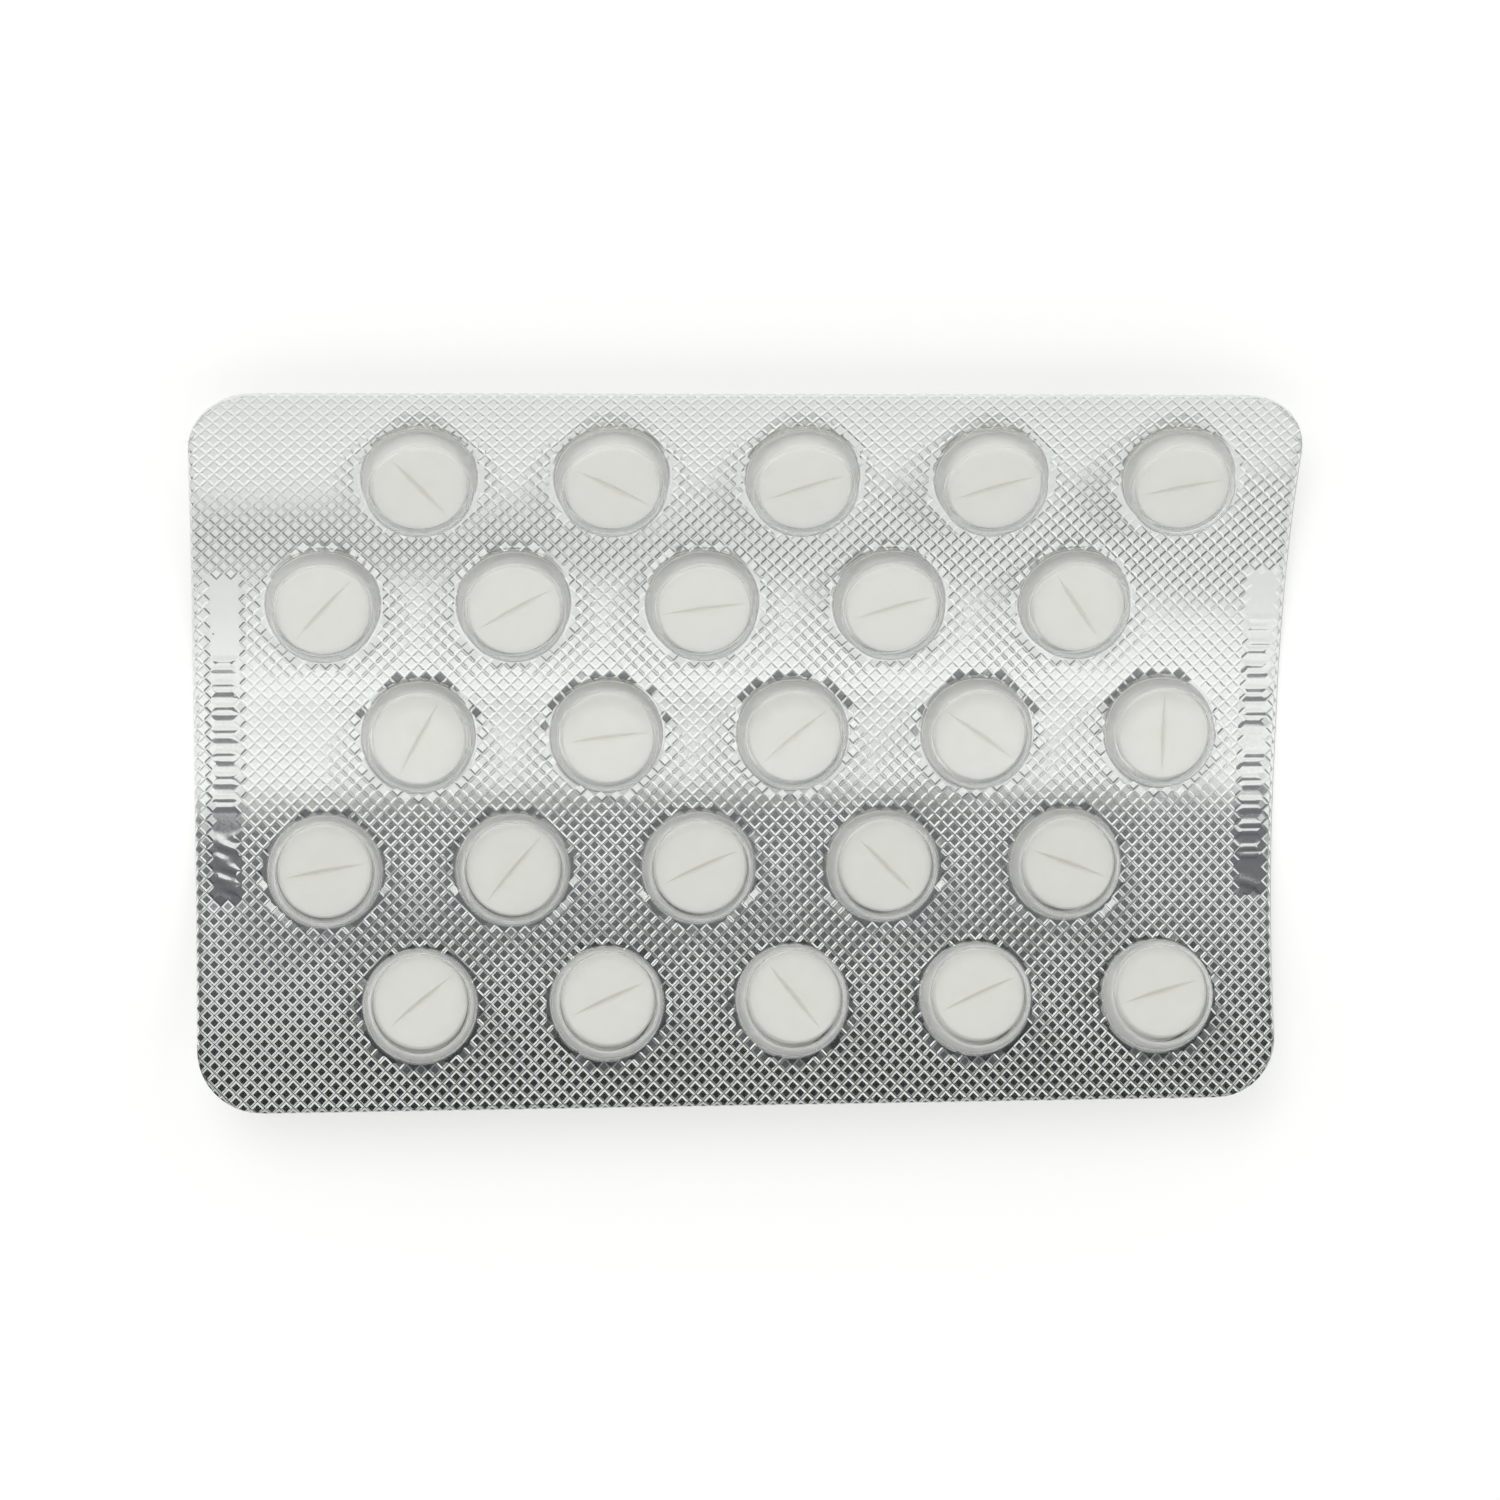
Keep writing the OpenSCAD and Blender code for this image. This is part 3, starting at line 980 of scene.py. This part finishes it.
# %% The light tent
def light_tent():
    world = bpy.data.worlds.new("white light tent with a gap for the camera")
    bpy.context.scene.world = world
    tree = new_tree(world)
    way = add_node(tree, "ShaderNodeTexCoord").outputs["Generated"]
    xyz = add_node(tree, "ShaderNodeSeparateXYZ", Vector=way)
    lean = add_node(tree, "ShaderNodeMath", {"operation": "ARCTAN2"}, i0=xyz.outputs["Y"], i1=xyz.outputs["Z"])
    side = add_node(tree, "ShaderNodeMath", {"operation": "ARCSINE"}, i0=xyz.outputs["X"])
    ovals = []
    for oval in (((lean, 10, 16), (side, 0, 50)), ((lean, 21, 31), (side, 6, 22))):
        parts = []
        for angle, middle, half in oval:
            part = add_node(tree, "ShaderNodeMapRange", {"clamp": False}, Value=angle.outputs[0],
                            From_Min=math.radians(middle), From_Max=math.radians(middle + half))
            square = add_node(tree, "ShaderNodeMath", {"operation": "POWER"}, i0=part.outputs["Result"], i1=2.0)
            parts.append(square.outputs[0])
        both = add_node(tree, "ShaderNodeMath", {"operation": "ADD"}, i0=parts[0], i1=parts[1])
        ovals.append(both.outputs[0])
    away = add_node(tree, "ShaderNodeMath", {"operation": "MINIMUM"}, i0=ovals[0], i1=ovals[1])
    gap = add_node(tree, "ShaderNodeMapRange", {"interpolation_type": "SMOOTHSTEP"}, Value=away.outputs[0],
                   From_Min=1.35, From_Max=0.8)
    path = add_node(tree, "ShaderNodeLightPath")
    hidden = add_node(tree, "ShaderNodeMath", {"operation": "SUBTRACT"}, i0=1.0, i1=path.outputs["Is Camera Ray"])
    gap = add_node(tree, "ShaderNodeMath", {"operation": "MULTIPLY"},
                   i0=gap.outputs["Result"], i1=hidden.outputs[0])
    deep = add_node(tree, "ShaderNodeMapRange", {"interpolation_type": "SMOOTHSTEP"}, Value=lean.outputs[0],
                    From_Min=math.radians(0), From_Max=math.radians(40))
    dark = add_node(tree, "ShaderNodeMix", {"data_type": "RGBA"}, i0=deep.outputs["Result"],
                    i6=light_of("#6C6C70"), i7=light_of("#28292C"))
    cloth = add_node(tree, "ShaderNodeMix", {"data_type": "RGBA"}, i0=gap.outputs[0],
                     i6=light_of("#FFFFFF"), i7=dark.outputs[2])
    low_side = add_node(tree, "ShaderNodeMapRange", {"interpolation_type": "SMOOTHSTEP"}, Value=lean.outputs[0],
                        From_Min=math.radians(-2), From_Max=math.radians(-36), To_Min=1.28, To_Max=0.93)
    tent = add_node(tree, "ShaderNodeBackground", Color=cloth.outputs[2], Strength=low_side.outputs["Result"])
    add_node(tree, "ShaderNodeOutputWorld", Surface=tent.outputs[0])
    return world


tent = light_tent()
print("light:", tent.name)

# %% [markdown]
# A soft lamp beside the camera fills in for the light that the gap keeps away. It is hidden from reflections, as
# a lamp behind a diffuser would nearly be, so the foil doesn't show its square.

# %% The soft lamp
def soft_lamp(place, size, watts):
    lamp = bpy.data.lights.new("soft lamp beside the camera", "AREA")
    lamp.shape, lamp.size, lamp.energy = "DISK", size, watts
    holder = bpy.data.objects.new("soft_lamp", lamp)
    holder.location = place
    holder.rotation_euler = Vector(place).to_track_quat("Z", "Y").to_euler()
    holder.visible_glossy = False
    holder.visible_transmission = False
    bpy.context.collection.objects.link(holder)
    return holder


lamp = soft_lamp((-0.12, 0.34, 0.52), 0.4, 1.0)
print("lamp at", [round(v, 2) for v in lamp.location])

# %% [markdown]
# The camera stands where the photographer's stood. Its place and lens come from fitting the card's outline and
# the feet of all pockets to the photograph.

# %% The camera
lens_mm, sensor_mm = 95.74, 36.0
camera_place = Vector((-33.2368, 70.0625, 311.3830 + foil_t)) / 1000
camera_axes = Matrix((
    (0.9943906, 0.0075227, -0.1055024),
    (0.0160769, 0.9751279, 0.2210594),
    (0.1045413, -0.2215153, 0.9695370),
))
eye = bpy.data.cameras.new("photo_camera")
eye.lens, eye.sensor_width, eye.sensor_height, eye.sensor_fit = lens_mm, sensor_mm, sensor_mm, "AUTO"
eye.clip_start, eye.clip_end = 0.01, 10
camera = bpy.data.objects.new("photo_camera", eye)
camera.matrix_world = Matrix.Translation(camera_place) @ camera_axes.to_4x4()
bpy.context.collection.objects.link(camera)
bpy.context.scene.camera = camera
bpy.context.scene.view_settings.view_transform = "Standard"
print("camera", round(camera_place.length * 1000), "mm from the card's middle")

# %% Measure and finish
dressed_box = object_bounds()
sizes = {
    "plain": [list(corner) for corner in plain_box],
    "dressed": [list(corner) for corner in dressed_box],
}
for name, (low, high) in sizes.items():
    print(name, [round(v * 1000, 3) for v in low], [round(v * 1000, 3) for v in high])
